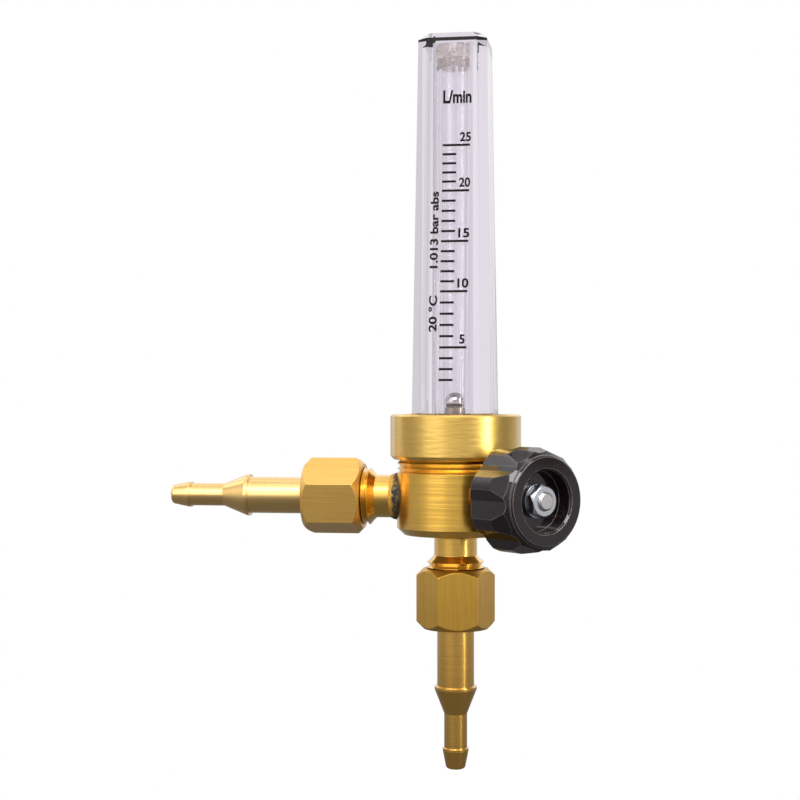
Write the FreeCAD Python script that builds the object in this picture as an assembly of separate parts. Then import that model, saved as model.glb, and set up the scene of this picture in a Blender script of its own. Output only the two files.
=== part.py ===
import FreeCAD, Part
import math
import os

# Rotameter for shielding gas, in millimetres. +Z is up along the sight tube, +X runs along the
# inlet towards the body, and the origin is on the inlet axis, in the middle of the inlet tail's
# large rim. Gas comes in from -X, rises through the metering tube, leaves through the slots of
# the cap, comes down between tube and cover, passes the needle valve and goes out below.

# Clearances
fit_gap = 0.02                # pieces that are screwed, pressed, brazed or clamped together
run_gap = 0.05                # shafts and threads that turn in a hole
seat_gap = 0.1                # needle off its seat, and ball off its seat, when shut
cutter_overrun = 1.2          # how far a drill goes past the surface it enters, as a factor

# Metering tube and its ball
ball_d = 5.56
ball_clearance = 0.12
tube_flare = 0.8              # growth of the bore's radius from the ball's rest to the top
tube_wall = 1.0               # wall at the top, where it is thinnest

# Clear cover
annulus = 1.0                 # gas way between the tube and the cover
cover_side = 22.4             # across flats, above the flange
cover_corner = 3.0            # leg of the long corner chamfers
cover_height = 107.95         # above the flange
cover_draft = 0.91            # degrees, each outer side
cavity_corner = 0.8           # leg of the cavity's small corner chamfers
cavity_draft = 0.1            # degrees, each side of the cavity
cover_bevel = 1.6             # chamfer round the closed top
cover_end_wall = 2.5
flange_step = 1.42            # flange beyond the cover's corners
flange_thickness = 2.6
slip_ring_thickness = 0.6
gasket_thickness = 1.2

# Cap at the top of the tube
cap_height = 6.3
cap_socket_depth = 2.5
cap_play = 0.2
cap_web = 1.5                 # disc between the tube's end and the slots
cap_slot = 2.0
cap_hole_share = 0.85         # of the ball: the cap's hole must stop the ball

# Body and ring nut
body_thread_depth = 0.92
body_thread_pitch = 1.5
body_thread_show = 3.2        # turns left in view under the ring nut
flange_play = 0.18            # flange inside the ring nut's thread
body_drop = 10.4              # inlet axis down to the bottom face
body_rise = 10.5              # inlet axis up to the ring nut
body_engage = 5.6             # body inside the ring nut
body_bevel_width = 2.0
body_bevel_height = 1.9
ring_wall = 1.85
ring_lip = 2.5
ring_top_bevel = 0.5
ring_foot_bevel = 1.0
ring_hole_play = 0.25

# Gas ways inside the body
gas_bore_d = 3.8
small_bore_d = 2.4
tube_floor = 10.5             # inlet axis up to the floor of the tube's counterbore
boss_wall = 2.0               # round the tube's counterbore
boss_sink = 0.6               # boss below the body's top face
gallery_width = 3.3
gallery_depth = 3.2

# Ball seat and O-ring
seat_flange = 1.5
seat_proud = 1.84             # above the ring nut's top
seat_bore_d = 2.6
seat_mouth_share = 0.88       # of the seat's top radius
o_ring_section = 1.36
o_ring_lift = 0.9             # groove above the tube's foot

# Stubs, union nuts and hose tails, the same at inlet and outlet
stub_socket = 4.0             # brazed into the body
stub_neck_d = 12.0
stub_neck_show = 5.85
stub_thread_d = 16.0
stub_thread_pitch = 1.5
stub_thread_depth = 0.92
stub_thread_show = 3.65
stub_thread_in_nut = 9.0
stub_mouth_d = 10.0
cone_half_angle = 30.0        # degrees, union cone
braze_width = 0.5
braze_bulge = 0.8             # of the width, at half the height
inlet_braze_height = 1.8
outlet_braze_height = 0.9
nut_wall = 1.5                # across flats beyond the thread
nut_length = 16.7
nut_lip = 3.0
nut_turn = 19.5               # degrees, how far the flats are turned round the axis
nut_face_share = 0.95         # of the flats: the round face at each end of a nut
nut_bevel_angle = 45.0        # degrees
collar_thickness = 4.0
collar_play = 0.2
tail_nose_share = 0.25        # the nose's flat tip, from the bore out to the cone's foot
tail_shaft_d = 10.3
tail_hole_play = 0.15
tail_shaft_show = 16.2
rim_height = 0.75             # large rim beyond the shaft
rim_land = 0.8
tail_cone = 6.8
small_shaft_d = 6.4
small_shaft_length = 9.6
bead_height = 0.4
bead_land = 0.8
bead_length = 5.8
bead_tip_d = 5.6
bead_tip_round = 1.0
bead_tip_bite = 0.8           # of the round's radius, taken off the end face

# Needle valve, seen outwards from the body's axis
valve_turn = -45.0            # degrees about the body's axis, from +X
valve_rise = 0.6              # valve's axis above the inlet's
valve_seat = 7.5              # body axis to the seat
valve_orifice_d = 2.6
valve_orifice_length = 2.9
valve_chamber_d = 7.2
valve_way_step = 0.05         # drilled way off the chamber's end face
bonnet_thread_d = 10.0
bonnet_reach = 2.7            # seat to the bonnet's inner end
bonnet_flats = 12.0
bonnet_hex = 3.3
bonnet_seat_play = 0.27
bonnet_gasket_thickness = 0.8
bonnet_web = 0.6
neck_d = 9.0
neck_length = 2.6
packing_d = 7.4
packing_nut_flats = 11.0
packing_nut_lip = 1.0
packing_nut_play = 0.35       # hexagon off the bonnet's hexagon
spindle_d = 5.0
spindle_thread_d = 6.0
spindle_start = 3.8           # seat to the spindle's nose
spindle_lift = 2.0            # travel from shut to open
needle_half_angle = 15.0      # degrees
needle_tip_d = 1.4
needle_shank_d = 2.4
needle_shank_length = 2.9

# Knob
knob_gap = 0.5                # off the packing nut, when shut
knob_length = 15.6
knob_d = 28.5
knob_back_round = 1.1
knob_lobes = 8
knob_lobe_turn = 25.5         # degrees, a lobe's middle round the knob's axis, from straight down
knob_flute_depth = 1.45
knob_flute_floor = 1.7
knob_flute_flank = 146.0      # degrees between the two flanks
knob_ramp_start = 8.8         # back face to where a lobe's front ramp starts
knob_ramp_angle = 16.0        # degrees, how steeply it goes down
knob_ring_d = 24.2
knob_ring_length = 0.9        # in front of the bevel that joins it to the skirt
knob_dish_d = 16.4
knob_dish_depth = 4.6
knob_edge_round = 0.5
knob_flat = 4.0               # across the spindle's two flats
washer_d = 9.0
washer_thickness = 1.0
knob_nut_flats = 8.0
knob_nut_height = 2.7          # thin nut
knob_nut_turn = 40.0          # degrees, the nut's flats round the knob's axis
stud_proud = 0.8
stud_bevel = 0.5

# Radii and heights that follow from the sizes above
ball_r = ball_d / 2
tube_bore_r = ball_r + ball_clearance
tube_r = tube_bore_r + tube_flare + tube_wall
cavity_half = tube_r + annulus
cover_corner_r = math.hypot(cover_side / 2, cover_side / 2 - cover_corner)
flange_r = cover_corner_r + flange_step
body_r = flange_r + flange_play + body_thread_depth
ring_r = body_r + ring_wall
ring_hole_r = cover_corner_r + ring_hole_play

body_top = body_rise + body_engage
flange_foot = body_top + gasket_thickness
flange_top = flange_foot + flange_thickness
ring_lip_foot = flange_top + slip_ring_thickness
ring_top = ring_lip_foot + ring_lip
cover_top = flange_top + cover_height
cavity_top = cover_top - cover_end_wall
cap_foot = cavity_top - fit_gap - cap_height
tube_top = cap_foot + cap_socket_depth - fit_gap
tube_foot = tube_floor + seat_flange + fit_gap
seat_top = ring_top + seat_proud
seat_top_r = tube_bore_r - run_gap
seat_mouth_r = seat_top_r * seat_mouth_share
ball_rest = seat_top - seat_mouth_r + (ball_r + seat_gap) * math.sqrt(2)
cavity_top_half = cavity_half - (cavity_top - flange_foot) * math.tan(math.radians(cavity_draft))
boss_r = tube_r + boss_wall
gallery_r = boss_r + gallery_width

thread_start = stub_neck_show
nut_start = thread_start + stub_thread_show
nut_end = nut_start + nut_length
stub_end = nut_start + stub_thread_in_nut
collar_end = nut_end - nut_lip - fit_gap
collar_start = collar_end - collar_thickness
rim_start = nut_end + tail_shaft_show
rim_middle = rim_start + rim_land / 2
tail_cone_end = rim_start + rim_land + tail_cone
bead_start = tail_cone_end + small_shaft_length
tail_end = bead_start + bead_length
gas_r = gas_bore_d / 2
braze_r = stub_neck_d / 2 + fit_gap + braze_width
inlet_sink = body_r - math.sqrt(body_r**2 - braze_r**2)

bonnet_corner_r = bonnet_flats / 2 / math.cos(math.radians(30))
bonnet_seat_r = bonnet_corner_r + bonnet_seat_play
bonnet_seat = math.sqrt(body_r**2 - bonnet_seat_r**2)
bonnet_foot = bonnet_seat + bonnet_gasket_thickness
bonnet_shelf = bonnet_foot + bonnet_hex
bonnet_end = bonnet_shelf + neck_length
packing_nut_end = bonnet_end + fit_gap + packing_nut_lip
spindle_nose = valve_seat + spindle_start
knob_back = packing_nut_end + knob_gap
knob_front = knob_back + knob_length
hub_front = knob_front - knob_dish_depth
washer_front = hub_front + fit_gap + washer_thickness
knob_nut_front = washer_front + fit_gap + knob_nut_height

body_x = body_r + rim_middle
UP = FreeCAD.Vector(0, 0, 1)
ORIGIN = FreeCAD.Vector(0, 0, 0)
BODY_AXIS = FreeCAD.Vector(body_x, 0, 0)
UPWARDS = FreeCAD.Rotation()
TO_INLET = FreeCAD.Rotation(FreeCAD.Vector(0, 1, 0), -90)
TO_OUTLET = FreeCAD.Rotation(FreeCAD.Vector(1, 0, 0), 180)
TO_VALVE = FreeCAD.Rotation(UP, valve_turn).multiply(FreeCAD.Rotation(FreeCAD.Vector(0, 1, 0), 90))


# Helpers: pieces are made about +Z, with stations counted along it, and laid on their axis last

def profile(start, *moves):
    """A closed face of (radius, station) points; a pair of points is an arc through the first."""
    edges = []
    here = FreeCAD.Vector(start[0], 0, start[1])
    for move in moves + (start,):
        if isinstance(move[0], tuple):
            middle, end = [FreeCAD.Vector(radius, 0, station) for radius, station in move]
            edges.append(Part.Arc(here, middle, end).toShape())
        else:
            end = FreeCAD.Vector(move[0], 0, move[1])
            edges.append(Part.LineSegment(here, end).toShape())
        here = end
    return Part.Face(Part.Wire(edges))


def turned(start, *moves):
    """A piece turned on a lathe."""
    return profile(start, *moves).revolve(ORIGIN, UP, 360)


def rod(radius, low, high):
    return Part.makeCylinder(radius, high - low, FreeCAD.Vector(0, 0, low), UP)


def tube(inner, outer, low, high):
    return turned((inner, low), (outer, low), (outer, high), (inner, high))


def ridges(crest, depth, pitch, low, high):
    """The points of the thread's turns that fit between two stations, root first."""
    points = []
    for turn in range(int((high - low) / pitch)):
        points.append((crest - depth, low + turn * pitch))
        points.append((crest, low + (turn + 0.5) * pitch))
    return points


def hexagon(flats, low, high, turn=0.0):
    """A hexagon bar with its corners turned off at both ends."""
    corner_r = flats / 2 / math.cos(math.radians(30))
    corners = []
    for index in range(7):
        angle = math.radians(turn + 30 + 60 * index)
        corners.append(FreeCAD.Vector(corner_r * math.cos(angle), corner_r * math.sin(angle), low))
    bar = Part.Face(Part.makePolygon(corners)).extrude(UP * (high - low))
    face_r = flats / 2 * nut_face_share
    bevel = (corner_r - face_r) * math.tan(math.radians(nut_bevel_angle))
    return bar.common(turned((0, low), (face_r, low), (corner_r, low + bevel),
                             (corner_r, high - bevel), (face_r, high), (0, high)))


def aimed(piece, turn, shift=0.0):
    """Turn a piece onto one of the body's axes, its station 0 shifted outwards."""
    place = FreeCAD.Placement(turn.multVec(UP * shift), turn)
    return piece.transformed(place.toMatrix(), True)


def laid(piece, turn, shift=0.0):
    """Aim a piece and carry it to the body's place in the meter's frame."""
    return aimed(piece, turn, shift).translated(BODY_AXIS)


# Body and the ring nut on it

def valve_body():
    thread = ridges(body_r, body_thread_depth, body_thread_pitch, body_rise - body_thread_show,
                    body_rise + body_thread_pitch)
    bevel_r = body_r - body_bevel_width
    body = turned((0, -body_drop), (bevel_r, -body_drop), (body_r, body_bevel_height - body_drop),
                  (body_r, body_rise - body_thread_show - body_thread_depth / 2), *thread,
                  (body_r - body_thread_depth, thread[-1][1] + body_thread_pitch / 2),
                  (body_r, thread[-1][1] + body_thread_pitch), (body_r, body_top),
                  (gallery_r, body_top), (gallery_r, body_top - gallery_depth),
                  (boss_r, body_top - gallery_depth), (boss_r, body_top - boss_sink),
                  (tube_r + fit_gap, body_top - boss_sink), (tube_r + fit_gap, tube_floor),
                  (gas_r, tube_floor), (gas_r, 0), (0, 0))
    groove_foot = tube_foot + o_ring_lift
    groove = tube(tube_r, tube_r + o_ring_section + 2 * fit_gap, groove_foot - fit_gap,
                  groove_foot + o_ring_section + fit_gap)
    return body.cut([groove, *body_ways()])


def body_ways():
    """Sockets and drilled gas ways of the body."""
    neck_r = stub_neck_d / 2 + fit_gap
    small_r = small_bore_d / 2
    seat_socket = rod(bonnet_seat_r, bonnet_seat, body_r + bonnet_seat_r)
    chamber = rod(valve_chamber_d / 2, valve_seat, bonnet_seat)
    bonnet_hole = rod(bonnet_thread_d / 2 + fit_gap, valve_seat + bonnet_reach, body_r)
    orifice_end = valve_seat - valve_orifice_length
    orifice = rod(valve_orifice_d / 2, orifice_end, valve_seat)
    outlet_socket = body_drop - stub_socket
    inlet = rod(neck_r, body_r - stub_socket, body_r * cutter_overrun).fuse(rod(gas_r, 0, body_r))
    outlet = rod(neck_r, outlet_socket, body_drop * cutter_overrun)
    valve = seat_socket.fuse([chamber, bonnet_hole, orifice])
    return [aimed(inlet, TO_INLET), aimed(outlet, TO_OUTLET),
            aimed(valve, TO_VALVE).translated(UP * valve_rise),
            slanted_way(orifice_end + small_r, outlet_socket, small_r), down_way(small_r)]


def slanted_way(reach, depth, radius):
    """From the floor of the outlet's socket up to the back of the valve's orifice."""
    outwards = TO_VALVE.multVec(UP)
    foot = outwards * radius - UP * depth
    way = outwards * reach + UP * valve_rise - foot
    return Part.makeCylinder(radius, way.Length, foot, way)


def down_way(radius):
    """From the gallery's floor down into the valve's chamber."""
    foot = TO_VALVE.multVec(UP) * (valve_seat + valve_way_step + radius) + UP * valve_rise
    return Part.makeCylinder(radius, body_top, foot, UP)


def ring_nut():
    return turned((ring_hole_r, ring_top), (ring_r - ring_top_bevel, ring_top),
                  (ring_r, ring_top - ring_top_bevel), (ring_r, body_rise + ring_foot_bevel),
                  (ring_r - ring_foot_bevel, body_rise), (body_r + fit_gap, body_rise),
                  (body_r + fit_gap, ring_lip_foot), (ring_hole_r, ring_lip_foot))


# Sight tube

def octagon(height, side, corner):
    """The cover's outline at one height: a square with chamfered corners."""
    half = side / 2
    corners = []
    for quarter in range(4):
        for point in ((half, half - corner), (half - corner, half)):
            angle = math.radians(90 * quarter)
            corners.append(FreeCAD.Vector(point[0] * math.cos(angle) - point[1] * math.sin(angle),
                                          point[0] * math.sin(angle) + point[1] * math.cos(angle),
                                          height))
    return Part.makePolygon(corners + corners[:1])


def tube_cover():
    """Moulded in one piece: a drafted square column, round flange and blind square cavity."""
    narrowing = 2 * math.tan(math.radians(cover_draft))
    bevel_foot = cover_top - cover_bevel
    shoulder_side = cover_side - narrowing * (cover_height - cover_bevel)
    shoulder_corner = cover_corner * shoulder_side / cover_side
    top_side = shoulder_side - 2 * cover_bevel
    sections = [octagon(flange_top, cover_side, cover_corner),
                octagon(bevel_foot, shoulder_side, shoulder_corner),
                octagon(cover_top, top_side, shoulder_corner * top_side / shoulder_side)]
    column = Part.makeLoft(sections, True, True)
    flange = rod(flange_r, flange_foot, flange_top)
    cavity = Part.makeLoft([octagon(flange_foot, 2 * cavity_half, cavity_corner),
                            octagon(cavity_top, 2 * cavity_top_half, cavity_corner)], True, True)
    return column.fuse(flange).removeSplitter().cut(cavity)


def metering_tube():
    """Its bore is straight over the ball's seat, then opens evenly to the top."""
    return turned((tube_bore_r, tube_foot), (tube_r, tube_foot), (tube_r, tube_top),
                  (tube_bore_r + tube_flare, tube_top), (tube_bore_r, seat_top))


def tube_cap():
    """Centres the tube in the cover, stops the ball, and lets the gas out through four slots."""
    outer = cavity_top_half - cap_play
    cap = rod(outer, cap_foot, cavity_top - fit_gap)
    socket = rod(tube_r + fit_gap, cap_foot, cap_foot + cap_socket_depth)
    hole = rod(ball_r * cap_hole_share, cap_foot, cavity_top)
    web_top = cap_foot + cap_socket_depth + cap_web
    cutters = [socket, hole]
    for quarter in range(4):
        flute = slot_block(tube_r, outer, cap_foot, cavity_top, quarter)
        slot = slot_block(0, outer, web_top, cavity_top, quarter)
        cutters += [flute, slot]
    return cap.cut(cutters)


def slot_block(inner, outer, low, high, quarter):
    """A radial cutter for one of the cap's four slots."""
    block = Part.makeBox(2 * outer - inner, cap_slot, high - low,
                         FreeCAD.Vector(inner, -cap_slot / 2, low))
    block.rotate(ORIGIN, UP, 90 * quarter)
    return block


def ball_seat():
    """A nozzle that stands in the foot of the tube, countersunk for the ball."""
    bore_r = seat_bore_d / 2
    return turned((bore_r, tube_floor + fit_gap), (tube_r - fit_gap, tube_floor + fit_gap),
                  (tube_r - fit_gap, tube_foot - fit_gap), (seat_top_r, tube_foot - fit_gap),
                  (seat_top_r, seat_top), (seat_mouth_r, seat_top),
                  (bore_r, seat_top - seat_mouth_r + bore_r))


def tube_o_ring():
    section_r = o_ring_section / 2
    height = tube_foot + o_ring_lift + section_r
    return Part.makeTorus(tube_r + fit_gap + section_r, section_r, FreeCAD.Vector(0, 0, height))


def cover_gasket():
    return tube(gallery_r, flange_r, body_top + fit_gap / 2, flange_foot - fit_gap / 2)


def slip_ring():
    return tube(ring_hole_r, flange_r, flange_top + fit_gap / 2, ring_lip_foot - fit_gap / 2)


def float_ball():
    return Part.makeSphere(ball_r, FreeCAD.Vector(0, 0, ball_rest))


# Fittings, with station 0 on the body's surface

def stub():
    """Brazed neck, threaded end and the cone that the tail's nose seats in."""
    crest = stub_thread_d / 2
    root = crest - stub_thread_depth
    neck_r = stub_neck_d / 2
    thread = ridges(crest, stub_thread_depth, stub_thread_pitch,
                    thread_start + root - neck_r, nut_start + stub_thread_pitch)
    mouth_r = stub_mouth_d / 2
    cone_depth = (mouth_r - gas_r) / math.tan(math.radians(cone_half_angle))
    return turned((gas_r, -stub_socket + fit_gap), (neck_r, -stub_socket + fit_gap),
                  (neck_r, thread_start), *thread,
                  (root, thread[-1][1] + stub_thread_pitch / 2),
                  (crest, thread[-1][1] + stub_thread_pitch),
                  (crest, stub_end - stub_thread_depth), (root, stub_end),
                  (mouth_r, stub_end), (gas_r, stub_end - cone_depth))


def braze(turn, surface, sink, height):
    """A bead of braze metal round the neck, which follows the body's surface."""
    inner = stub_neck_d / 2 + fit_gap
    middle = (inner + braze_width * braze_bulge, height / 2)
    ring = turned((inner, -sink), (braze_r, -sink), (middle, (inner, height)))
    body = rod(body_r + fit_gap, -body_drop - fit_gap, body_top)
    return laid(ring, turn, surface).cut(laid(body, UPWARDS))


def union_nut():
    bore_r = stub_thread_d / 2 + fit_gap
    chamber_r = stub_thread_d / 2 - stub_thread_depth
    return hexagon(stub_thread_d + 2 * nut_wall, nut_start, nut_end, nut_turn).cut(turned(
        (0, nut_start), (bore_r, nut_start), (bore_r, collar_start - fit_gap),
        (chamber_r, collar_start - fit_gap), (chamber_r, nut_end - nut_lip),
        (tail_shaft_d / 2 + tail_hole_play, nut_end - nut_lip),
        (tail_shaft_d / 2 + tail_hole_play, nut_end), (0, nut_end)))


def hose_tail():
    """Nose cone, collar, shaft with a sharp rim for a large hose, then a bead for a small one."""
    slope = math.tan(math.radians(cone_half_angle))
    nose_r = stub_mouth_d / 2 + (collar_start - stub_end - fit_gap) * slope
    tip_r = gas_r + tail_nose_share * (nose_r - gas_r)
    collar_r = stub_thread_d / 2 - stub_thread_depth - collar_play
    shaft_r = tail_shaft_d / 2
    rim_r = shaft_r + rim_height
    small_r = small_shaft_d / 2
    bead_r = small_r + bead_height
    tip = bead_tip_d / 2
    turn_in = bead_tip_round * (1 - math.sqrt(0.5))
    return turned((gas_r, collar_start - (nose_r - tip_r) / slope),
                  (tip_r, collar_start - (nose_r - tip_r) / slope), (nose_r, collar_start),
                  (collar_r, collar_start), (collar_r, collar_end), (shaft_r, collar_end),
                  (shaft_r, rim_start), (rim_r, rim_start), (rim_r, rim_start + rim_land),
                  (small_r, tail_cone_end), (small_r, bead_start), (bead_r, bead_start),
                  (bead_r, bead_start + bead_land), (tip, tail_end - bead_tip_round),
                  ((tip - turn_in, tail_end - turn_in),
                   (tip - bead_tip_round * bead_tip_bite, tail_end)),
                  (gas_r, tail_end))


# Needle valve, with stations counted from the body's axis

def bonnet():
    """Screwed into the body; carries the spindle's thread and the packing."""
    shank_r = bonnet_thread_d / 2
    foot = valve_seat + bonnet_reach
    blank = hexagon(bonnet_flats, bonnet_foot, bonnet_shelf).fuse(
        [rod(shank_r, foot, bonnet_foot), rod(neck_d / 2, bonnet_shelf, bonnet_end)])
    thread_r = spindle_thread_d / 2 + run_gap
    stem_r = spindle_d / 2 + run_gap
    packing_r = packing_d / 2
    way = turned((0, foot), (thread_r, foot), (thread_r, bonnet_shelf - bonnet_web),
                 (stem_r, bonnet_shelf - bonnet_web), (stem_r, bonnet_shelf),
                 (packing_r, bonnet_shelf), (packing_r, bonnet_end), (0, bonnet_end))
    return blank.cut(way)


def bonnet_gasket():
    return tube(bonnet_thread_d / 2 + fit_gap, bonnet_flats / 2, bonnet_seat + fit_gap / 2,
                bonnet_foot - fit_gap / 2)


def stem_packing():
    return tube(spindle_d / 2 + run_gap, packing_d / 2 - fit_gap, bonnet_shelf + fit_gap, bonnet_end)


def packing_nut():
    neck_r = neck_d / 2 + fit_gap
    stem_r = spindle_d / 2 + run_gap
    low = bonnet_shelf + packing_nut_play
    return hexagon(packing_nut_flats, low, packing_nut_end).cut(turned(
        (0, low), (neck_r, low), (neck_r, bonnet_end + fit_gap), (stem_r, bonnet_end + fit_gap),
        (stem_r, packing_nut_end), (0, packing_nut_end)))


def valve_spindle():
    """Threaded in the bonnet, flatted for the knob, with a stud for the knob's nut."""
    thread_end = bonnet_shelf - bonnet_web - spindle_lift - run_gap
    stud_end = knob_nut_front + stud_proud
    stem_r = spindle_d / 2
    thread_r = spindle_thread_d / 2
    socket_r = needle_shank_d / 2 + run_gap
    socket_end = spindle_nose + needle_shank_length + run_gap
    spindle = turned((socket_r, spindle_nose), (thread_r, spindle_nose), (thread_r, thread_end),
                     (stem_r, thread_end), (stem_r, stud_end - stud_bevel),
                     (stem_r - stud_bevel, stud_end), (0, stud_end), (0, socket_end),
                     (socket_r, socket_end))
    flats = [Part.makeBox(spindle_d, spindle_d, hub_front - knob_back,
                          FreeCAD.Vector(-spindle_d / 2, offset, knob_back))
             for offset in (knob_flat / 2, -knob_flat / 2 - spindle_d)]
    return spindle.cut(flats)


def valve_needle():
    """A cone on a shank that swivels in the spindle's nose."""
    slope = math.tan(math.radians(needle_half_angle))
    seat_at = valve_seat + seat_gap
    tip_r = needle_tip_d / 2
    orifice_r = valve_orifice_d / 2
    shoulder = spindle_nose - run_gap
    shank_end = spindle_nose + needle_shank_length
    return turned((0, seat_at - (orifice_r - tip_r) / slope),
                  (tip_r, seat_at - (orifice_r - tip_r) / slope),
                  (orifice_r + (shoulder - seat_at) * slope, shoulder),
                  (needle_shank_d / 2, shoulder), (needle_shank_d / 2, shank_end), (0, shank_end))


# Knob

def knob():
    """Moulded: a lobed skirt behind a round front ring, with a dish for the washer and nut."""
    lobe_r = knob_d / 2
    ring_r_front = knob_ring_d / 2
    ring_back = knob_front - knob_ring_length
    dish_r = knob_dish_d / 2
    blank = turned((0, knob_back), (lobe_r - knob_back_round, knob_back),
                   (lobe_r, knob_back + knob_back_round),
                   (lobe_r, ring_back - (lobe_r - ring_r_front)), (ring_r_front, ring_back),
                   (ring_r_front, knob_front - knob_edge_round),
                   (ring_r_front - knob_edge_round, knob_front),
                   (dish_r + knob_edge_round, knob_front), (dish_r, knob_front - knob_edge_round),
                   (dish_r, hub_front), (0, hub_front))
    cutters = [spindle_hole()]
    for index in range(knob_lobes):
        lobe_angle = knob_lobe_turn + index * 360 / knob_lobes
        for cutter, angle in ((ramp_cutter(), lobe_angle),
                              (flute_cutter(), lobe_angle + 180 / knob_lobes)):
            cutter.rotate(ORIGIN, UP, angle)
            cutters.append(cutter)
    return blank.cut(cutters)


def flute_cutter():
    """A wide, shallow groove between two lobes, with a flat floor and splayed flanks."""
    floor = knob_d / 2 - knob_flute_depth
    out = knob_d / 2 + knob_flute_depth
    half = knob_flute_floor / 2
    wide = half + (out - floor) * math.tan(math.radians(knob_flute_flank / 2))
    outline = [(floor, -half), (out, -wide), (out, wide), (floor, half), (floor, -half)]
    points = [FreeCAD.Vector(x, y, knob_back) for x, y in outline]
    return Part.Face(Part.makePolygon(points)).extrude(UP * knob_length)


def ramp_cutter():
    """Planes the front end of a lobe down towards the ring."""
    slope = math.tan(math.radians(knob_ramp_angle))
    out = knob_d / 2 + knob_flute_depth
    ramp_start = knob_back + knob_ramp_start
    ramp_end_r = knob_d / 2 - (knob_front - ramp_start) * slope
    outline = [(out, ramp_start - knob_flute_depth / slope), (ramp_end_r, knob_front),
               (out, knob_front), (out, ramp_start - knob_flute_depth / slope)]
    points = [FreeCAD.Vector(x, -knob_d / 2, z) for x, z in outline]
    return Part.Face(Part.makePolygon(points)).extrude(FreeCAD.Vector(0, knob_d, 0))


def spindle_hole():
    """Round hole with two flats, to suit the spindle."""
    hole = rod(spindle_d / 2 + fit_gap, knob_back, hub_front)
    across = knob_flat + 2 * fit_gap
    return hole.common(Part.makeBox(spindle_d * 2, across, hub_front - knob_back,
                                    FreeCAD.Vector(-spindle_d, -across / 2, knob_back)))


def knob_washer():
    return tube(spindle_d / 2 + fit_gap, washer_d / 2, hub_front + fit_gap, washer_front)


def knob_nut():
    bar = hexagon(knob_nut_flats, washer_front + fit_gap, knob_nut_front, knob_nut_turn)
    return bar.cut(rod(spindle_d / 2 + fit_gap, washer_front, knob_nut_front + fit_gap))


def pieces():
    """Every piece by its node's name, laid in the meter's own frame."""
    upright = {"valve_body": valve_body, "ring_nut": ring_nut, "slip_ring": slip_ring,
               "cover_gasket": cover_gasket, "tube_cover": tube_cover, "tube_cap": tube_cap,
               "metering_tube": metering_tube, "ball_seat": ball_seat, "tube_o_ring": tube_o_ring,
               "float_ball": float_ball}
    valve = {"valve_bonnet": bonnet, "bonnet_gasket": bonnet_gasket, "stem_packing": stem_packing,
             "packing_nut": packing_nut, "valve_spindle": valve_spindle,
             "valve_needle": valve_needle, "knob": knob, "knob_washer": knob_washer,
             "knob_nut": knob_nut}
    fitting = {"stub": stub, "nut": union_nut, "tail": hose_tail}
    placed = {name: laid(make(), UPWARDS) for name, make in upright.items()}
    placed.update({name: laid(make(), TO_VALVE).translated(UP * valve_rise)
                   for name, make in valve.items()})
    for side, turn, surface, sink, height in (
            ("inlet", TO_INLET, body_r, inlet_sink, inlet_braze_height),
            ("outlet", TO_OUTLET, body_drop, 0.0, outlet_braze_height)):
        placed[f"{side}_braze"] = braze(turn, surface, sink, height)
        for name, make in fitting.items():
            placed[f"{side}_{name}"] = laid(make(), turn, surface)
    return placed


def main():
    os.makedirs("parts", exist_ok=True)
    for name, piece in pieces().items():
        piece.exportStep(f"parts/{name}.step")
        print(f"{name:16s} {piece.Volume:10.2f} mm3  solids {len(piece.Solids)}  valid {piece.isValid()}")


main()
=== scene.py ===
# %% [markdown]
# # A rotameter for welding gas
# The meter has a turned brass body, a clear square sight tube with a steel ball, a needle valve
# with a black hand knob, and two hose tails on union nuts. The engineered pieces come in as a
# fixed frame, already at their true size and place. This lesson dresses them: it gives each one
# the finish of its real material, and models what the frame leaves out, the printed scale.

# %% Load the frame
import math
import bmesh
import bpy
from mathutils import Matrix, Vector


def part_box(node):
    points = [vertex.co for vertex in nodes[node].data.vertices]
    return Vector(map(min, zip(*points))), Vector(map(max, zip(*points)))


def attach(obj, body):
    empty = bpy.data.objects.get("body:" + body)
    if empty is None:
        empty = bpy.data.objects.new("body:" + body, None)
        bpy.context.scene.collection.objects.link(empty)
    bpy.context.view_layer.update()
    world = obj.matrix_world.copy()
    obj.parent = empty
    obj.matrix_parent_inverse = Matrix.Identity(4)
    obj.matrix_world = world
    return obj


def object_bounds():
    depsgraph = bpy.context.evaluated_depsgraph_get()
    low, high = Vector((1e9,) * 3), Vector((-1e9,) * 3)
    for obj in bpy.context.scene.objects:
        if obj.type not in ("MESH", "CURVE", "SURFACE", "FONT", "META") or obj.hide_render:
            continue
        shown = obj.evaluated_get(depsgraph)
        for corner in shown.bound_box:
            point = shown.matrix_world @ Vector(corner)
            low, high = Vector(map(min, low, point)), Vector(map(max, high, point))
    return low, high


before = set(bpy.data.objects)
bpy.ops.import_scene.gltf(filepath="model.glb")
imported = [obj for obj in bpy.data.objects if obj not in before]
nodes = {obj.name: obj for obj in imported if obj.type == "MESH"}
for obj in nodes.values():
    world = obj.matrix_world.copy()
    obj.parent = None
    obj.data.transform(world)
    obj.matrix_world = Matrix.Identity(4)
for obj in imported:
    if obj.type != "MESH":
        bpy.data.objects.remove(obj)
cad_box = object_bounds()
print("pieces in the frame:", len(nodes))

# %% [markdown]
# ## Where things are
# All lengths are in metres, so a millimetre gets a name. The tube, the ring nut and the body
# share one upright axis. It could be typed in, but then it would be wrong as soon as the frame
# changed, so it is read from the frame: it is the middle of the ring nut's box.

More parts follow.
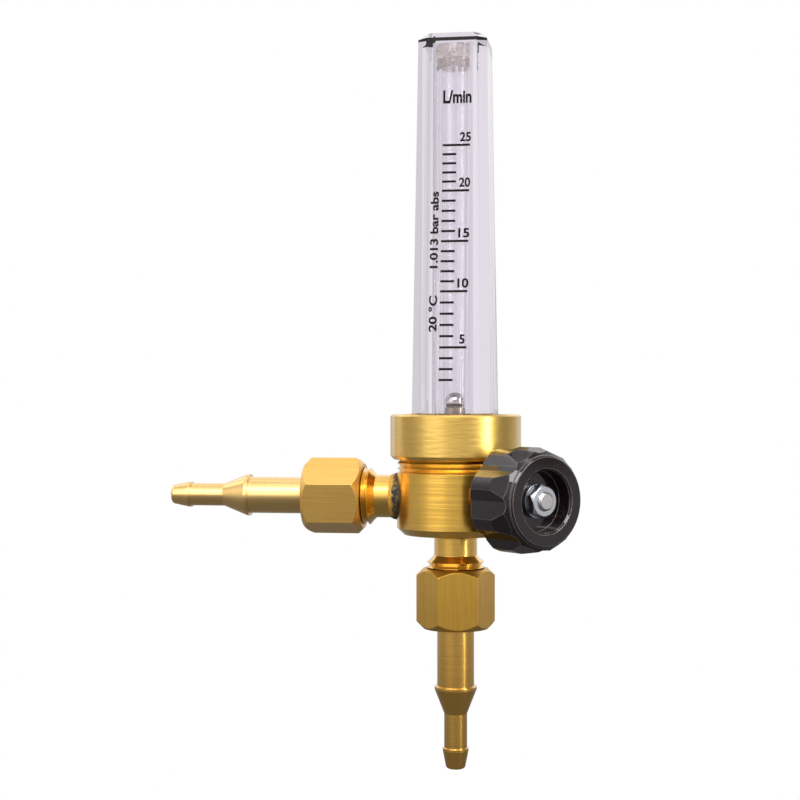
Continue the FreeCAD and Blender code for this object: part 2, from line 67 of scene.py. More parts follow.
# %% Measure the main places
MM = 0.001
ring_low, ring_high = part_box("ring_nut")
AXIS_X = (ring_low.x + ring_high.x) / 2
RING_TOP = ring_high.z
body_low, body_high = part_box("valve_body")
BODY_RADIUS = body_high.x - AXIS_X
print(f"tube axis at x = {AXIS_X / MM:.2f} mm, ring top at z = {RING_TOP / MM:.2f} mm")
print(f"body radius = {BODY_RADIUS / MM:.2f} mm")

# %% [markdown]
# ## Colours and nodes
# Colours are easiest to judge as the hex values of a paint chart, which are in sRGB. Shaders
# work in linear light, so one function converts them. A second one adds a shader node, sets its
# options and fills or links its inputs, which keeps each material down to a few lines.

# %% Helpers for materials
def linear(code):
    """A hex colour such as 'D3A63F' as linear red, green, blue and alpha."""
    channels = [int(code[i:i + 2], 16) / 255 for i in (0, 2, 4)]
    return [c / 12.92 if c <= 0.04045 else ((c + 0.055) / 1.055) ** 2.4 for c in channels] + [1]


def add(tree, kind, inputs=None, **settings):
    """Add a node; an input that is a socket is linked, and any other value is set."""
    node = tree.nodes.new(kind)
    for name, value in settings.items():
        setattr(node, name, value)
    for name, value in (inputs or {}).items():
        if isinstance(value, bpy.types.NodeSocket):
            tree.links.new(value, node.inputs[name])
        else:
            node.inputs[name].default_value = value
    return node


def new_material(name, **sockets):
    """A material with one principled shader, and its node tree."""
    material = bpy.data.materials.new(name)
    material.use_nodes = True
    shader = material.node_tree.nodes["Principled BSDF"]
    for socket, value in sockets.items():
        shader.inputs[socket.replace("_", " ")].default_value = value
    return material, material.node_tree, shader


def finish_nodes(material, *names):
    """Give frame pieces a finish through their material slots."""
    for name in names:
        nodes[name].material_slots[0].material = material
    print(f"{material.name}: {', '.join(names)}")


print(f"the middle of the sRGB scale is {linear('808080')[0]:.2f} in linear light")

# %% [markdown]
# ## Softened edges
# No turned or moulded edge is truly sharp: its small round catches a line of light. The edges
# could be bevelled in the mesh, but the frame's meshes have to stay as they are. So the shader
# rounds them: a Bevel node gives normals that turn smoothly from one face to the next.

# %% Softened edges
EDGE_ROUND = 0.25 * MM
EDGE_SAMPLES = 6


def soft_edges(tree, radius):
    """Normals that round every sharp edge a little, so that it catches the light."""
    return add(tree, "ShaderNodeBevel", {"Radius": radius}, samples=EDGE_SAMPLES).outputs[0]


print(f"brass edges are rounded by {EDGE_ROUND / MM:.2f} mm")

# %% [markdown]
# ## Where the torch has been
# The two stubs are brazed into the body, and the torch leaves a brown stain on the brass beside
# the joint. The stain could be painted on a texture, but a distance does the same in one node: it
# is strong near a point inside the body and ends a little way out, and a noise makes that end
# ragged. Each point lies one body radius behind the wall that the stub goes through, so the
# same distances do for both stubs.

# %% Torch heat
INLET_HEAT = (AXIS_X, 0, 0)
OUTLET_HEAT = (AXIS_X, 0, body_low.z + BODY_RADIUS)
HEAT_PATCH = 2.5 * MM
HEAT_RAGGED = 3 * MM


def torch_reach(tree, place, middle, near, far):
    """How far the brazing torch's heat shows: 1 near the body, 0 beyond, with a ragged edge."""
    away = add(tree, "ShaderNodeVectorMath", {0: place, 1: middle}, operation="DISTANCE")
    rough = add(tree, "ShaderNodeTexNoise", {"Vector": place, "Scale": 1 / HEAT_PATCH, "Detail": 4.0})
    ragged = add(tree, "ShaderNodeMath", {0: rough.outputs["Fac"], 1: HEAT_RAGGED,
                                          2: away.outputs["Value"]}, operation="MULTIPLY_ADD")
    reach = add(tree, "ShaderNodeMapRange", {"Value": ragged.outputs[0], "From Min": near,
                                             "From Max": far, "To Min": 1.0, "To Max": 0.0})
    return reach.outputs[0]


print(f"heat is measured from z = 0 and from z = {OUTLET_HEAT[2] / MM:.2f} mm on the axis")

# %% [markdown]
# ## Brass off the lathe and off the drawing bench
# A lathe tool leaves fine rings round a turned piece, and drawn hexagon bar keeps long scratches
# from its die. Both come from one noise texture: for rings it is squeezed hard along the piece's
# axis, and for drawn bar across it. Grooves this fine also smear a highlight across themselves,
# which the shader's anisotropy does, with the tangent running round the axis. Real tool marks
# are about 0.1 mm apart, too fine to show at this size, so they are drawn coarser. A broad noise
# shifts the colour a little, as handling and air do, and the thin coat is the dip lacquer that
# keeps the brass bright: it gives the highlights their white.

# %% Tooled brass
RING_PITCH = 0.8 * MM
SCRATCH_PITCH = 0.35 * MM
TOOL_MARK_DEPTH = 0.08 * MM
TARNISH_SIZE = 9 * MM
COAT_ROUGHNESS = 0.2
SMEAR = 0.6
VALVE_ANGLE = math.radians(45)
STAIN_NEAR = 18.8 * MM
STAIN_FAR = 19.8 * MM
STAIN_BROWN = "6A4420"


def tooled_brass(name, bright, dull, roughness, axis, relief=0.5, run=60, coat=0.8, drawn=False,
                 brazed=None):
    """Brass worked about the axis 'X' or 'Z', or about the valve's slanting axis 'V'.

    A mark is run times as long as it is wide. Drawn bar has its marks along the axis, and
    turned brass round it. Brass that was brazed is stained about the given middle.
    """
    material, tree, shader = new_material(name, Metallic=1.0, Roughness=roughness, Coat_Weight=coat,
                                          Coat_Roughness=COAT_ROUGHNESS)
    place = add(tree, "ShaderNodeTexCoord").outputs["Object"]
    pitch = SCRATCH_PITCH if drawn else RING_PITCH
    along, across = (run * pitch, pitch) if drawn else (pitch, run * pitch)
    scale = [1 / across] * 3
    scale["XYZ".index("X" if axis == "V" else axis)] = 1 / along
    turn = (0, 0, VALVE_ANGLE if axis == "V" else 0)
    laid = add(tree, "ShaderNodeMapping", {"Vector": place, "Rotation": turn})
    stretched = add(tree, "ShaderNodeMapping", {"Vector": laid.outputs[0], "Scale": scale})
    marks = add(tree, "ShaderNodeTexNoise",
                {"Vector": stretched.outputs[0], "Scale": 1.0, "Detail": 3.0, "Roughness": 0.6})
    cloud = add(tree, "ShaderNodeTexNoise",
                {"Vector": place, "Scale": 1 / TARNISH_SIZE, "Detail": 5.0, "Roughness": 0.6})
    both = add(tree, "ShaderNodeMix", {"Factor": 0.75 if drawn else 0.55, "A": cloud.outputs["Fac"],
                                       "B": marks.outputs["Fac"]}, data_type="FLOAT")
    colour = add(tree, "ShaderNodeMix", {"Factor": both.outputs["Result"], "A": linear(dull),
                                         "B": linear(bright)}, data_type="RGBA")
    bump = add(tree, "ShaderNodeBump",
               {"Height": marks.outputs["Fac"], "Strength": relief, "Distance": TOOL_MARK_DEPTH,
                "Normal": soft_edges(tree, EDGE_ROUND)})
    if axis != "V":
        tangent = add(tree, "ShaderNodeTangent", direction_type="RADIAL", axis=axis)
        tree.links.new(tangent.outputs[0], shader.inputs["Tangent"])
        shader.inputs["Anisotropic"].default_value = SMEAR
        shader.inputs["Anisotropic Rotation"].default_value = 0.0 if drawn else 0.25
    if brazed:
        heat = torch_reach(tree, place, brazed, STAIN_NEAR, STAIN_FAR)
        colour = add(tree, "ShaderNodeMix", {"Factor": heat, "A": colour.outputs["Result"],
                                             "B": linear(STAIN_BROWN)}, data_type="RGBA")
    tree.links.new(colour.outputs["Result"], shader.inputs["Base Color"])
    tree.links.new(bump.outputs[0], shader.inputs["Normal"])
    return material


print(f"rings {RING_PITCH / MM:.2f} mm apart, scratches {SCRATCH_PITCH / MM:.2f} mm apart")

# %% [markdown]
# The ring nut and the body are turned, and their marks are deep enough to see. The ring nut's
# are also short, as an emery cloth leaves them. The tails and stubs were turned finer, so they
# shine more. The union nuts are cut from drawn bar and have hardly any lacquer, which leaves
# them dull. One brass could do for all, but each piece has its own colour, and the ring nut's
# darker brass is painted shade: it keeps the ring nut from looking brighter than the body.

# %% Brass pieces
# The ring nut's darker bright and dull colours are painted shade.
finish_nodes(tooled_brass("brass_ring_brushed_shaded", "EAC668", "C6983C", 0.34, "Z", 0.9, run=6),
             "ring_nut")
finish_nodes(tooled_brass("brass_body_turned", "FACC5A", "CA942A", 0.28, "Z", 1.0),
             "valve_body", "slip_ring")
finish_nodes(tooled_brass("brass_tail_upright", "F0C05A", "C89038", 0.22, "Z", 0.15),
             "outlet_tail")
finish_nodes(tooled_brass("brass_tail_level", "F4D088", "DCAE62", 0.26, "X", 0.15), "inlet_tail")
finish_nodes(tooled_brass("brass_stub_upright", "F6C860", "D29C38", 0.22, "Z", 0.15,
                          brazed=OUTLET_HEAT),
             "outlet_stub")
finish_nodes(tooled_brass("brass_stub_level", "F6C860", "D29C38", 0.22, "X", 0.15,
                          brazed=INLET_HEAT),
             "inlet_stub")
finish_nodes(tooled_brass("brass_valve_turned", "E8B858", "C48C34", 0.30, "V", 0.3),
             "valve_bonnet", "packing_nut")
finish_nodes(tooled_brass("brass_nut_level", "F6CE74", "CC9644", 0.34, "X", 0.3, coat=0.25,
                          drawn=True),
             "inlet_nut")
finish_nodes(tooled_brass("brass_nut_upright", "F0C254", "B07A28", 0.34, "Z", 0.6, coat=0.25,
                          drawn=True),
             "outlet_nut")

# %% [markdown]
# ## Braze metal
# The joint between stub and body is left as it came from the torch: dark, scaly and uneven, with
# a little brass shining through. Its lumps could be sculpted, but they are under half a
# millimetre high, so a noise drives both the bump and the colour, and the scale lies dark in the
# hollows. Past the torch's reach the bead is bright braze.

# %% Braze metal
SCALE_FLAKE = 1.2 * MM
SCALE_DEPTH = 0.4 * MM
SCALE_NEAR = 19.4 * MM
SCALE_FAR = 20.0 * MM


def braze_metal(name, middle):
    """Braze that is scaled dark near the middle, and bright beyond the torch's reach."""
    material, tree, shader = new_material(name, Metallic=0.6, Roughness=0.55)
    place = add(tree, "ShaderNodeTexCoord").outputs["Object"]
    scale = add(tree, "ShaderNodeTexNoise", {"Vector": place, "Scale": 1 / SCALE_FLAKE, "Detail": 6.0})
    steps = add(tree, "ShaderNodeValToRGB", {"Fac": scale.outputs["Fac"]})
    steps.color_ramp.elements[0].position = 0.4
    steps.color_ramp.elements[0].color = linear("2A282C")
    steps.color_ramp.elements[1].position = 0.8
    steps.color_ramp.elements[1].color = linear("8A7448")
    bump = add(tree, "ShaderNodeBump", {"Height": scale.outputs["Fac"], "Strength": 0.9,
                                        "Distance": SCALE_DEPTH})
    heat = torch_reach(tree, place, middle, SCALE_NEAR, SCALE_FAR)
    colour = add(tree, "ShaderNodeMix", {"Factor": heat, "A": linear("C8983C"),
                                         "B": steps.outputs["Color"]}, data_type="RGBA")
    tree.links.new(colour.outputs["Result"], shader.inputs["Base Color"])
    tree.links.new(bump.outputs[0], shader.inputs["Normal"])
    return material


finish_nodes(braze_metal("braze_scale_inlet", INLET_HEAT), "inlet_braze")
finish_nodes(braze_metal("braze_scale_outlet", OUTLET_HEAT), "outlet_braze")

# %% [markdown]
# ## Steel, rubber and plastics
# The remaining pieces are plain engineering materials. Each is a principled shader with the
# roughness of its surface and a fine noise for its grain, so one function makes them all. A
# paler colour can be painted on a moulding's edges, a painted highlight for the glint on their
# small rounds. The function can tell where an edge is: there, the rounded normal and the flat
# one point different ways, and the more they differ, the more of the paler colour shows.

# %% Grained materials
GRAIN_DEPTH = 0.05 * MM
EDGE_STARTS = 0.995
EDGE_FULL = 0.9
# How much of the paler edge colour, a painted highlight, shows at most.
MOST_SHEEN = 0.7


def grained(name, colour, grain, relief, edge=0.0, sheen_colour=None, **sockets):
    """A material with one colour, a fine grain of the given size and, if asked, soft edges.

    A paler colour, a painted highlight, shows on the soft edges alone.
    """
    material, tree, shader = new_material(name, Base_Color=linear(colour), **sockets)
    place = add(tree, "ShaderNodeTexCoord").outputs["Object"]
    noise = add(tree, "ShaderNodeTexNoise", {"Vector": place, "Scale": 1 / grain, "Detail": 4.0})
    bump = add(tree, "ShaderNodeBump", {"Height": noise.outputs["Fac"], "Strength": relief,
                                        "Distance": GRAIN_DEPTH})
    if edge:
        rounded = soft_edges(tree, edge)
        tree.links.new(rounded, bump.inputs["Normal"])
    # Painted highlight: a paler colour along the edges stands for their glint.
    if edge and sheen_colour:
        flat = add(tree, "ShaderNodeNewGeometry").outputs["Normal"]
        along = add(tree, "ShaderNodeVectorMath", {0: rounded, 1: flat}, operation="DOT_PRODUCT")
        sheen_amount = add(tree, "ShaderNodeMapRange", {"Value": along.outputs["Value"],
                                                  "From Min": EDGE_STARTS, "From Max": EDGE_FULL,
                                                  "To Min": 0.0, "To Max": MOST_SHEEN})
        tint = add(tree, "ShaderNodeMix", {"Factor": sheen_amount.outputs[0], "A": linear(colour),
                                           "B": linear(sheen_colour)}, data_type="RGBA")
        tree.links.new(tint.outputs["Result"], shader.inputs["Base Color"])
    tree.links.new(bump.outputs[0], shader.inputs["Normal"])
    return material


print(f"grain is {GRAIN_DEPTH / MM:.2f} mm deep")

# %% Knob, steel and seals
# Pressed phenolic comes from a polished die: black, glossy and a little wavy. Its edges are
# painted paler, as a painted highlight.
finish_nodes(grained("phenolic_moulding_black", "140B0C", 2.5 * MM, 0.2, 0.35 * MM, "8C8080",
                     Roughness=0.06, Specular_IOR_Level=0.5), "knob")
# Zinc plate is a cool, half-bright grey, and turned stainless steel is a warmer one.
finish_nodes(grained("zinc_plated_steel", "B6BAC0", 0.8 * MM, 0.25, 0.2 * MM, Metallic=1.0,
                     Roughness=0.30), "knob_washer", "knob_nut")
finish_nodes(grained("stainless_turned", "C4C0BF", 0.8 * MM, 0.3, 0.2 * MM, Metallic=1.0,
                     Roughness=0.28), "valve_spindle", "valve_needle")
# Nickel plate is a yellowish grey. Under the ball it draws the eye less than bare brass would.
finish_nodes(grained("nickel_plated_brass", "B4A48C", 0.8 * MM, 0.2, 0.2 * MM, Metallic=1.0,
                     Roughness=0.30), "ball_seat")
# A bearing ball is lapped, so it mirrors the room.
finish_nodes(grained("stainless_ball_polished", "D2D0CE", 1.0 * MM, 0.0, Metallic=1.0,
                     Roughness=0.10), "float_ball")
# Rubber and pressed fibre are dull, and PTFE lets a little light in, as wax does.
finish_nodes(grained("nitrile_rubber", "161616", 0.5 * MM, 0.10, Roughness=0.7),
             "tube_o_ring", "cover_gasket")
finish_nodes(grained("vulcanised_fibre", "33241C", 0.3 * MM, 0.30, Roughness=0.8), "bonnet_gasket")
finish_nodes(grained("ptfe_packing", "E8E6E0", 0.5 * MM, 0.05, Roughness=0.5,
                     Subsurface_Weight=0.2), "stem_packing")
# The cap is moulded acetal, thin enough here to let most light through as a milky white.
finish_nodes(grained("acetal_cap", "F6EEE8", 0.8 * MM, 0.05, Roughness=0.15,
                     Transmission_Weight=0.85, IOR=1.48), "tube_cap")

# %% [markdown]
# ## Clear mouldings
# The cover and the metering tube are clear mouldings. A see-through alpha would be quicker, but
# it bends nothing, and here the bent reflections draw the edges. So the shader lets light
# through and has the plastic's real IOR, 1.49 for acrylic. A moulding is never quite smooth:
# long, faint waves run up its sides and draw out the reflections into streaks.

# %% Clear acrylic
ACRYLIC_IOR = 1.49
WAVE_RUN = 18
WAVE_DEPTH = 0.05 * MM


def clear_acrylic(name, colour, wave, relief):
    """Clear plastic with upright waves of the given width, each much longer than it is wide."""
    material, tree, shader = new_material(name, Base_Color=linear(colour), Roughness=0.0,
                                          IOR=ACRYLIC_IOR, Transmission_Weight=1.0)
    place = add(tree, "ShaderNodeTexCoord").outputs["Object"]
    drawn = add(tree, "ShaderNodeMapping",
                {"Vector": place, "Scale": (1 / wave, 1 / wave, 1 / (WAVE_RUN * wave))})
    noise = add(tree, "ShaderNodeTexNoise", {"Vector": drawn.outputs[0], "Scale": 1.0, "Detail": 1.0})
    bump = add(tree, "ShaderNodeBump", {"Height": noise.outputs["Fac"], "Strength": relief,
                                        "Distance": WAVE_DEPTH})
    tree.links.new(bump.outputs[0], shader.inputs["Normal"])
    return material


finish_nodes(clear_acrylic("acrylic_cover_clear", "FAF8FB", 3.5 * MM, 0.2), "tube_cover")
finish_nodes(clear_acrylic("acrylic_tube_clear", "FCFBFC", 4 * MM, 0.03), "metering_tube")

# %% [markdown]
# ## The printed scale
# The scale is printed on the front of the cover. That face leans back by its moulding draft, so
# the marks are laid out flat first, across and up, and one matrix then carries them onto the
# face. The print also runs a little askew, as it does where a moulding sits loosely in the
# printing jig, so the matrix leans it sideways too. The face is found by two heights of its
# wall: the foot, just above the cover's round flange, and the head, below the rounded top.

# %% Find the front face
WALL_REACH = 11.5 * MM
SAME_HEIGHT = 0.05 * MM
RIM_WIDTH = 0.2 * MM
WALL_LENGTH = 100 * MM
ROUNDED_TOP = 1 * MM
cover_points = [v.co for v in nodes["tube_cover"].data.vertices]
cover_top = max(p.z for p in cover_points)
flange_top = max(p.z for p in cover_points if abs(p.x - AXIS_X) > WALL_REACH)


def off_axis(point):
    """How far a point is from the tube's axis."""
    return math.hypot(point.x - AXIS_X, point.y)


foot_ring = [p for p in cover_points if abs(p.z - flange_top) < SAME_HEIGHT]
flange_radius = max(off_axis(p) for p in foot_ring)
foot_points = [p for p in foot_ring if off_axis(p) < flange_radius - RIM_WIDTH]
head_points = [p for p in cover_points
               if flange_top + WALL_LENGTH < p.z < cover_top - ROUNDED_TOP]
foot_y = min(p.y for p in foot_points)
head_y = min(p.y for p in head_points)
head_z = max(p.z for p in head_points)
print(f"cover foot y = {foot_y / MM:.3f}, head y = {head_y / MM:.3f} at z = {head_z / MM:.2f} mm")

# %% Lay the print on the face
PRINT_LEAN = math.radians(0.9)
lean = math.atan2(head_y - foot_y, head_z - flange_top)
face_y = foot_y + (RING_TOP - flange_top) * math.tan(lean)
askew = Matrix.Identity(4)
askew[0][1] = math.tan(PRINT_LEAN)
ON_FACE = (Matrix.Translation((AXIS_X, face_y, RING_TOP))
           @ Matrix.Rotation(math.radians(90) - lean, 4, "X") @ askew)
print(f"front face leans back {math.degrees(lean):.2f} degrees, y = {face_y / MM:.2f} mm")

# %% [markdown]
# Screen-printing ink is a matt, slightly uneven film. A flat sheet of faces would do from the
# front, but behind it the plastic would end in air that isn't there. So the ink is a thin solid
# that reaches a little into the plastic, and it also shows from behind and in the reflections
# inside the cover.

# %% Helpers for ink
INK_PROUD = 0.02 * MM
INK_SUNK = 0.06 * MM
INK_DEPTH = INK_PROUD + INK_SUNK
INK_MIDDLE = (INK_PROUD - INK_SUNK) / 2
INK = grained("scale_ink_black", "100C0C", 0.4 * MM, 0.2, Roughness=0.8, Specular_IOR_Level=0.15)


def ink_piece(name, bm):
    """Make one piece of ink from a flat layout and lay it on the front face."""
    bmesh.ops.recalc_face_normals(bm, faces=bm.faces)
    mesh = bpy.data.meshes.new(name)
    bm.to_mesh(mesh)
    bm.free()
    mesh.transform(ON_FACE)
    mesh.materials.append(INK)
    piece = bpy.data.objects.new(name, mesh)
    bpy.context.scene.collection.objects.link(piece)
    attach(piece, "meter")
    print(f"{name}: {len(mesh.polygons)} faces")


def add_bar(bm, left, right, height, thickness):
    """A flat bar of ink between two places across the face."""
    made = bmesh.ops.create_cube(bm, size=1.0)["verts"]
    bmesh.ops.scale(bm, verts=made, vec=(right - left, thickness, INK_DEPTH))
    bmesh.ops.translate(bm, verts=made, vec=((left + right) / 2, height, INK_MIDDLE))


print(f"ink stands {INK_PROUD / MM:.2f} mm proud and reaches {INK_SUNK / MM:.2f} mm in")

# %% [markdown]
# The scale of a rotameter isn't even, because the ball sits higher for the same step of flow as
# the bore opens. So the numbered marks each have their own height, and the marks between them
# are shared out evenly. Heights are in millimetres above the ring nut.

# %% Scale marks
NUMBERED = {5: 18.35, 10: 33.65, 15: 47.35, 20: 61.15, 25: 73.6}
FIRST_MARK = 2
FIRST_MARK_HEIGHT = 9.45
MARK_LEFT = -3.5 * MM
SHORT_MARK_RIGHT = 0.3 * MM
LONG_MARK_RIGHT = 4.0 * MM
MARK_THICKNESS = 0.62 * MM


def mark_height(flow):
    """Height of a flow's mark above the ring nut."""
    known = sorted({FIRST_MARK: FIRST_MARK_HEIGHT, **NUMBERED}.items())
    for (low, low_z), (high, high_z) in zip(known, known[1:]):
        if low <= flow <= high:
            return (low_z + (high_z - low_z) * (flow - low) / (high - low)) * MM


marks = bmesh.new()
for flow in range(FIRST_MARK, max(NUMBERED) + 1):
    right = LONG_MARK_RIGHT if flow in NUMBERED else SHORT_MARK_RIGHT
    add_bar(marks, MARK_LEFT, right, mark_height(flow), MARK_THICKNESS)
ink_piece("scale_marks", marks)

# %% [markdown]
# Figures could be built from strokes, but Blender's own font is quicker and has even curves. A
# text object is turned into a mesh, scaled so that a figure has its printed height, and
# narrowed, because scales are printed in narrow letters.

# %% Lettering
FONT_CAPITAL = 0.73
FONT_WELD = 1e-5
LETTER_WEIGHT = 0.03


def lettering(text, height, width, weight=LETTER_WEIGHT):
    """Text as a layout one ink film thick, with capitals of that height, and that wide."""
    curve = bpy.data.curves.new("lettering", "FONT")
    curve.body = text
    curve.offset = weight
    curve.extrude = 0.5
    carrier = bpy.data.objects.new("lettering", curve)
    bpy.context.scene.collection.objects.link(carrier)
    bpy.context.view_layer.update()
    mesh = bpy.data.meshes.new_from_object(carrier.evaluated_get(
        bpy.context.evaluated_depsgraph_get()))
    bpy.data.objects.remove(carrier)
    bm = bmesh.new()
    bm.from_mesh(mesh)
    bmesh.ops.remove_doubles(bm, verts=bm.verts, dist=FONT_WELD)
    left = min(v.co.x for v in bm.verts)
    across = max(v.co.x for v in bm.verts) - left
    bmesh.ops.translate(bm, verts=bm.verts, vec=(-left, 0, 0))
    bmesh.ops.scale(bm, verts=bm.verts, vec=(width / across, height / FONT_CAPITAL, INK_DEPTH))
    bmesh.ops.translate(bm, verts=bm.verts, vec=(0, 0, INK_MIDDLE))
    return bm


def join(target, source, place):
    """Copy one bmesh into another through a placing matrix."""
    mesh = bpy.data.meshes.new("joined")
    source.to_mesh(mesh)
    source.free()
    mesh.transform(place)
    target.from_mesh(mesh)
    bpy.data.meshes.remove(mesh)


print(f"a capital is {FONT_CAPITAL} of the font's size")

# %% Figures
FIGURE_HEIGHT = 2.5 * MM
FIGURE_WIDTH = 1.45 * MM
PAIR_WIDTH = 2.1 * FIGURE_WIDTH
FIGURE_MIDDLE = 2.7 * MM
FIGURE_LIFT = 1.05 * MM
figures = bmesh.new()
for flow, height in NUMBERED.items():
    width = FIGURE_WIDTH if flow < 10 else PAIR_WIDTH
    place = Matrix.Translation((FIGURE_MIDDLE - width / 2, height * MM + FIGURE_LIFT, 0))
    join(figures, lettering(str(flow), FIGURE_HEIGHT, width), place)
ink_piece("scale_figures", figures)

# %% Unit
UNIT_LEFT = -3.6 * MM
UNIT_WIDTH = 7.8 * MM
UNIT_HEIGHT = 3.5 * MM
UNIT_LIFT = 85.2 * MM
UNIT_WEIGHT = 0.034
unit = bmesh.new()
join(unit, lettering("L/min", UNIT_HEIGHT, UNIT_WIDTH, UNIT_WEIGHT),
     Matrix.Translation((UNIT_LEFT, UNIT_LIFT, 0)))
ink_piece("scale_unit", unit)

# %% [markdown]
# Beside the marks, reading upwards, stands the state of the gas that the scale holds for. The
# same lettering does, turned a quarter round. Each text has the heights where it starts and ends.

# %% Reference state
SIDE_BASE = -4.4 * MM
SIDE_HEIGHT = 2.15 * MM
SIDE_TEXTS = {"20 °C": (22.6 * MM, 32.5 * MM), "1.013 bar abs": (40 * MM, 61 * MM)}
side = bmesh.new()
for text, (low, high) in SIDE_TEXTS.items():
    place = Matrix.Translation((SIDE_BASE, low, 0)) @ Matrix.Rotation(math.radians(90), 4, "Z")
    join(side, lettering(text, SIDE_HEIGHT, high - low), place)
ink_piece("scale_reference", side)

# %% [markdown]
# ## A floor and a sky for each kind of ray
# In a white studio tent the background is bright, and yet brass looks deep, because what it
# mirrors is softboxes with dark gaps between them. A plain white world would give flat yellow
# metal. So the floor and the sky ask what kind of ray has met them. The camera's own rays see
# white. Rays that the clear plastic has bent see a fainter, slightly violet white in broad
# bands, which draws the walls of the tube. All others, mirrored rays above all, see the
# softboxes. First comes the floor, a pale disc below the hanging meter, which fades into white.

# %% Floor
FLOOR_DROP = 45 * MM
FLOOR_RADIUS = 3.0
FADE_START = 60 * MM
FADE_END = 190 * MM
DIM_TO = 100 * MM
LIT_FROM = 1200 * MM
# The violet of the light that only rays bent by the plastic see: it shades the clear pieces lilac.
BENT_LIGHT_TINT = "FCF7FF"


def floor_material():
    """Pale and matt where it is seen near the meter, and elsewhere a light by kind of ray."""
    material, tree, shader = new_material("floor_pale", Base_Color=linear("F4F4F4"), Roughness=0.9)
    place = add(tree, "ShaderNodeTexCoord").outputs["Object"]
    centred = add(tree, "ShaderNodeMapping", {"Vector": place, "Location": (-AXIS_X, 0, 0),
                                              "Scale": (1, 1, 0)})
    away = add(tree, "ShaderNodeVectorMath", {0: centred.outputs[0]}, operation="LENGTH")
    fade = add(tree, "ShaderNodeMapRange", {"Value": away.outputs["Value"], "From Min": FADE_START,
                                            "From Max": FADE_END}, interpolation_type="SMOOTHSTEP")
    path = add(tree, "ShaderNodeLightPath")
    far = add(tree, "ShaderNodeMapRange", {"Value": away.outputs["Value"], "From Min": DIM_TO,
                                           "From Max": LIT_FROM, "To Min": 0.18, "To Max": 0.7})
    white = add(tree, "ShaderNodeEmission", {"Strength": 1.0})
    mirrored = add(tree, "ShaderNodeEmission", {"Strength": far.outputs[0]})
    looked_at = add(tree, "ShaderNodeMixShader", {0: fade.outputs[0], 1: shader.outputs[0],
                                                  2: white.outputs[0]})
    through = add(tree, "ShaderNodeEmission", {"Color": linear(BENT_LIGHT_TINT), "Strength": 0.84})
    bent = add(tree, "ShaderNodeMixShader", {0: path.outputs["Is Transmission Ray"],
                                             1: mirrored.outputs[0], 2: through.outputs[0]})
    both = add(tree, "ShaderNodeMixShader", {0: path.outputs["Is Camera Ray"], 1: bent.outputs[0],
                                             2: looked_at.outputs[0]})
    tree.links.new(both.outputs[0], tree.nodes["Material Output"].inputs["Surface"])
    return material


def make_floor():
    """A round floor below the meter."""
    bm = bmesh.new()
    bmesh.ops.create_circle(bm, cap_ends=True, segments=64, radius=FLOOR_RADIUS)
    bmesh.ops.translate(bm, verts=bm.verts, vec=(AXIS_X, 0, cad_box[0].z - FLOOR_DROP))
    mesh = bpy.data.meshes.new("floor")
    bm.to_mesh(mesh)
    bm.free()
    mesh.materials.append(floor_material())
    floor = bpy.data.objects.new("floor", mesh)
    bpy.context.scene.collection.objects.link(floor)
    print(f"floor {FLOOR_DROP / MM:.0f} mm below the meter, {FLOOR_RADIUS:.0f} m in radius")


make_floor()

# %% [markdown]
# The sky's softboxes are a ramp of light by the direction round the meter, in degrees from the
# front, with the right side positive. An image of a studio would do too, but a ramp keeps each
# softbox a number that can be moved. The bright peak near 60 degrees is the main softbox, and
# the dark stretch past it keeps one side of each round piece in shade.

# %% Sky
STUDIO = ((-160, 0.8), (-147, 0.6), (-136, 1.3), (-123, 0.6), (-109, 1.3), (-97, 0.4), (-78, 0.5),
          (-55, 0.9), (-35, 1.15), (-18, 1.05), (0, 0.75), (14, 0.6), (28, 0.75), (42, 1.1),
          (51, 1.8), (58, 2.4), (68, 2.4), (76, 1.3), (86, 0.3), (105, 0.22), (125, 0.5),
          (150, 0.9))
THROUGH = ((-170, 0.84), (-160, 0.7), (-140, 0.85), (-100, 0.55), (-50, 0.8), (0, 0.6), (50, 0.8),
           (100, 0.5), (140, 0.85), (160, 0.7), (170, 0.84))


def light_round(tree, round_axis, stops, tint="FFFFFF"):
    """Light that changes with the direction round the meter, in degrees from the front."""
    node = add(tree, "ShaderNodeValToRGB", {"Fac": round_axis.outputs["Fac"]})
    ramp = node.color_ramp
    ramp.interpolation = "EASE"
    for place, light in sorted(((side / 360 + 0.25) % 1, light) for side, light in stops):
        ramp.elements.new(place).color = [light * part for part in linear(tint)[:3]] + [1]
    ramp.elements.remove(ramp.elements[0])
    ramp.elements.remove(ramp.elements[-1])
    return node.outputs["Color"]


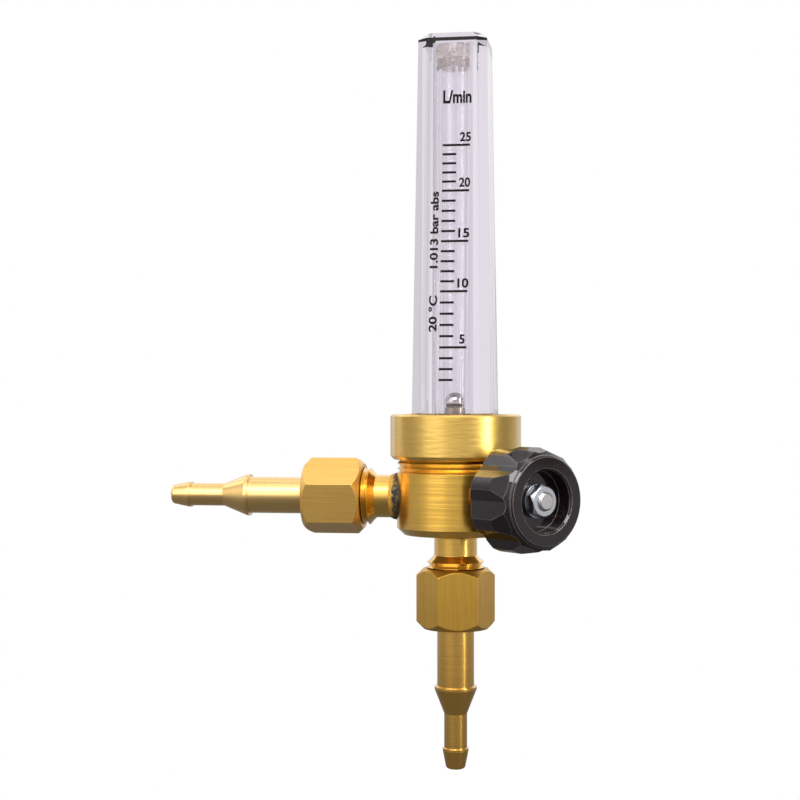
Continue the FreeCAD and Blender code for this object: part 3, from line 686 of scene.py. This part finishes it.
def make_sky():
    """White where it is seen, and softboxes round the meter where it is mirrored."""
    world = bpy.data.worlds.new("studio")
    world.use_nodes = True
    tree = world.node_tree
    tree.nodes.clear()
    direction = add(tree, "ShaderNodeTexCoord").outputs["Generated"]
    round_axis = add(tree, "ShaderNodeTexGradient", {"Vector": direction}, gradient_type="RADIAL")
    height = add(tree, "ShaderNodeSeparateXYZ", {"Vector": direction}).outputs["Z"]
    lift = add(tree, "ShaderNodeMapRange", {"Value": height, "From Min": -0.05, "From Max": 0.4,
                                            "To Min": 0.8, "To Max": 1.5})
    path = add(tree, "ShaderNodeLightPath")
    mirrored = add(tree, "ShaderNodeBackground", {"Color": light_round(tree, round_axis, STUDIO),
                                                  "Strength": lift.outputs[0]})
    dim = add(tree, "ShaderNodeMapRange", {"Value": height, "From Min": 0.2, "From Max": 0.7,
                                           "To Min": 1.0, "To Max": 0.65})
    through = add(tree, "ShaderNodeBackground",
                  {"Color": light_round(tree, round_axis, THROUGH, BENT_LIGHT_TINT),
                   "Strength": dim.outputs[0]})
    white = add(tree, "ShaderNodeBackground", {"Color": linear("FFFFFF")})
    bent = add(tree, "ShaderNodeMixShader", {0: path.outputs["Is Transmission Ray"],
                                             1: mirrored.outputs[0], 2: through.outputs[0]})
    both = add(tree, "ShaderNodeMixShader", {0: path.outputs["Is Camera Ray"], 1: bent.outputs[0],
                                             2: white.outputs[0]})
    add(tree, "ShaderNodeOutputWorld", {"Surface": both.outputs[0]})
    bpy.context.scene.world = world
    print(f"sky: {len(STUDIO)} stops of mirrored light, {len(THROUGH)} of light seen through")


make_sky()

# %% [markdown]
# ## Lamps
# The sky gives broad reflections, and five soft lamps add the stronger highlights. They stand
# at one distance and face the body: a tall key at the right, a broad fill at the left, one high
# in front for the rims and the ring nut's top, and two small, weak ones at the far left, above
# and below, for glints on that side.

# %% Lamps
LAMP_DISTANCE = 0.6


def lamp_place(side, up):
    """A place round the meter, by its angle to the side and its angle up, in degrees."""
    side, up = math.radians(side), math.radians(up)
    return (AXIS_X + LAMP_DISTANCE * math.cos(up) * math.sin(side),
            -LAMP_DISTANCE * math.cos(up) * math.cos(side), LAMP_DISTANCE * math.sin(up))


def soft_lamp(name, place, size, power):
    """A rectangular lamp that faces the body of the meter."""
    data = bpy.data.lights.new(name, "AREA")
    data.shape = "RECTANGLE"
    data.size, data.size_y = size
    data.energy = power
    lamp = bpy.data.objects.new(name, data)
    lamp.location = place
    target = Vector((AXIS_X, 0, 0))
    lamp.rotation_euler = (target - lamp.location).to_track_quat("-Z", "Y").to_euler()
    lamp.visible_camera = False
    bpy.context.scene.collection.objects.link(lamp)
    print(f"{name}: {power} W at {[round(part, 2) for part in place]}")


soft_lamp("key", lamp_place(63, 15), (0.06, 0.45), 1.3)
soft_lamp("fill", lamp_place(-32, 25), (0.4, 0.5), 0.8)
soft_lamp("rim", lamp_place(5, 42), (0.30, 0.20), 1.7)
soft_lamp("side", lamp_place(-100, 35), (0.16, 0.10), 0.10)
soft_lamp("low", lamp_place(-98, -22), (0.06, 0.06), 0.04)

# %% [markdown]
# ## Camera
# The meter is seen from the front and a little from the right, level with the ring nut's top, so
# that the ring shows as a straight band. The longish lens keeps the tube's sides nearly
# parallel. The Standard view transform keeps the white background white.

# %% Camera
CAMERA_RIGHT = 53 * MM
CAMERA_BACK = 434 * MM
CAMERA_RISE = 4 * MM
CAMERA_TURN = math.radians(9)
SENSOR_WIDTH = 36
FOCAL_LENGTH = 70.4
camera_data = bpy.data.cameras.new("camera")
camera_data.sensor_width = SENSOR_WIDTH
camera_data.lens = FOCAL_LENGTH
camera_data.clip_start = 10 * MM
camera = bpy.data.objects.new("camera", camera_data)
camera.location = (AXIS_X + CAMERA_RIGHT, -CAMERA_BACK, RING_TOP + CAMERA_RISE)
camera.rotation_euler = (math.radians(90), 0, CAMERA_TURN)
bpy.context.scene.collection.objects.link(camera)
bpy.context.scene.camera = camera
bpy.context.scene.view_settings.view_transform = "Standard"
print("camera", [round(c, 3) for c in camera.location])
